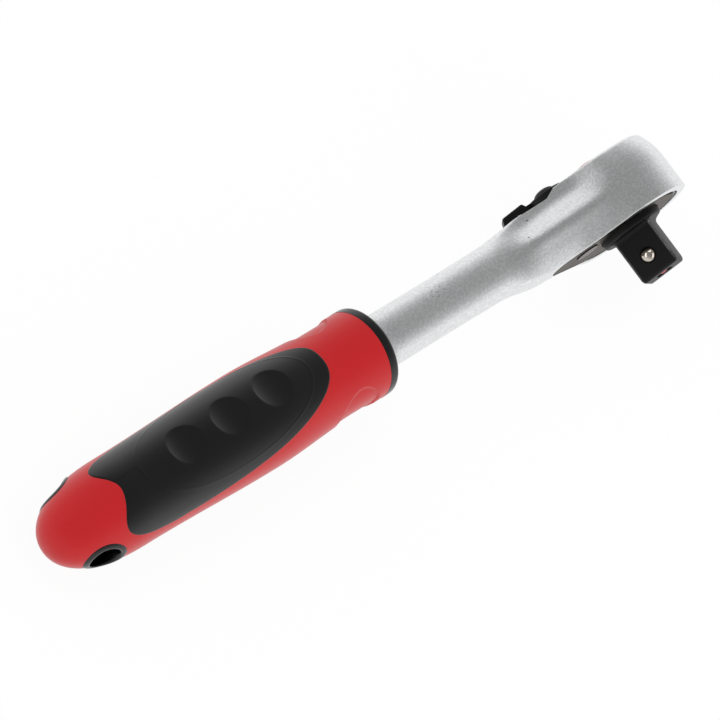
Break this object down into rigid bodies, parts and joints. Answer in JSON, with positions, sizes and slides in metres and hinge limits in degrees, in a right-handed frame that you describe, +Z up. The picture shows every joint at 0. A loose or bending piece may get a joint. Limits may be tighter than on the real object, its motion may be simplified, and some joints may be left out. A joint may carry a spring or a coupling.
{
  "type": "reversible ratchet handle",
  "caption": "Reversible ratchet with a pear-shaped satin head, a square drive with detent ball and push-button release, a reversing lever and a soft-sided handle with a hanging hole.",
  "frame": {"origin": "under the middle of the tool, on the surface that it lies on", "axes": "+X along the handle towards the head, +Y towards the reversing lever's side, so the square drive points along -Y, and +Z up with the tool lying on its side"},
  "size_m": [0.2486, 0.0419, 0.0408],
  "materials": {
    "satin_chrome": "blasted satin chrome on a forging",
    "black_phosphate": "black phosphated steel",
    "bare_steel": "ground bare steel",
    "spring_steel": "drawn spring wire",
    "polished_ball": "polished bearing steel",
    "red_plastic": "satin moulded red",
    "red_lacquer": "red lacquer on steel",
    "black_rubber": "soft moulded black"
  },
  "bodies": {
    "body": {"ratchet_body": "satin_chrome", "thrust_washer": "bare_steel", "cover_plate": "bare_steel", "plate_snap_ring": "spring_steel", "handle_body": "red_plastic", "side_grip_upper": "black_rubber", "side_grip_lower": "black_rubber", "front_collar": "black_rubber", "hang_hole_liner": "black_rubber"},
    "drive": {"drive_spindle": "black_phosphate", "release_spring": "spring_steel"},
    "release": {"release_button": "red_plastic", "release_pin": "red_lacquer"},
    "ball": {"detent_ball": "polished_ball"},
    "lever": {"reversing_lever": "black_phosphate", "lever_o_ring": "black_rubber", "lever_clip": "spring_steel", "pawl_spring": "spring_steel"},
    "plunger": {"pawl_plunger": "bare_steel"},
    "pawl": {"pawl": "bare_steel"}
  },
  "joints": [
    {"name": "drive_spin", "type": "hinge", "parent": "body", "child": "drive", "pos_m": [0.1039, 0, 0.0204], "axis": [0, 1, 0], "continuous": true},
    {"name": "release_press", "type": "slide", "parent": "drive", "child": "release", "axis": [0, -1, 0], "range_m": [0, 0.002], "stiffness_N_per_m": 400, "deforming": ["release_spring"]},
    {"name": "ball_retract", "type": "slide", "parent": "drive", "child": "ball", "axis": [0.7071, 0, -0.7071], "range_m": [0, 0.001]},
    {"name": "lever_swing", "type": "hinge", "parent": "body", "child": "lever", "pos_m": [0.0854, 0, 0.0204], "axis": [0, 1, 0], "range_deg": [0, 60]},
    {"name": "plunger_slide", "type": "slide", "parent": "lever", "child": "plunger", "axis": [0.866, 0, 0.5], "range_m": [-0.0008, 0], "stiffness_N_per_m": 300, "deforming": ["pawl_spring"]},
    {"name": "pawl_rock", "type": "hinge", "parent": "body", "child": "pawl", "pos_m": [0.0899, 0, 0.0204], "axis": [0, 1, 0], "range_deg": [-10, 0]}
  ],
  "couplings": [
    {"joint": "ball_retract", "follows": "release_press", "ratio": 0.5},
    {"joint": "pawl_rock", "follows": "lever_swing", "ratio": -0.16667}
  ]
}
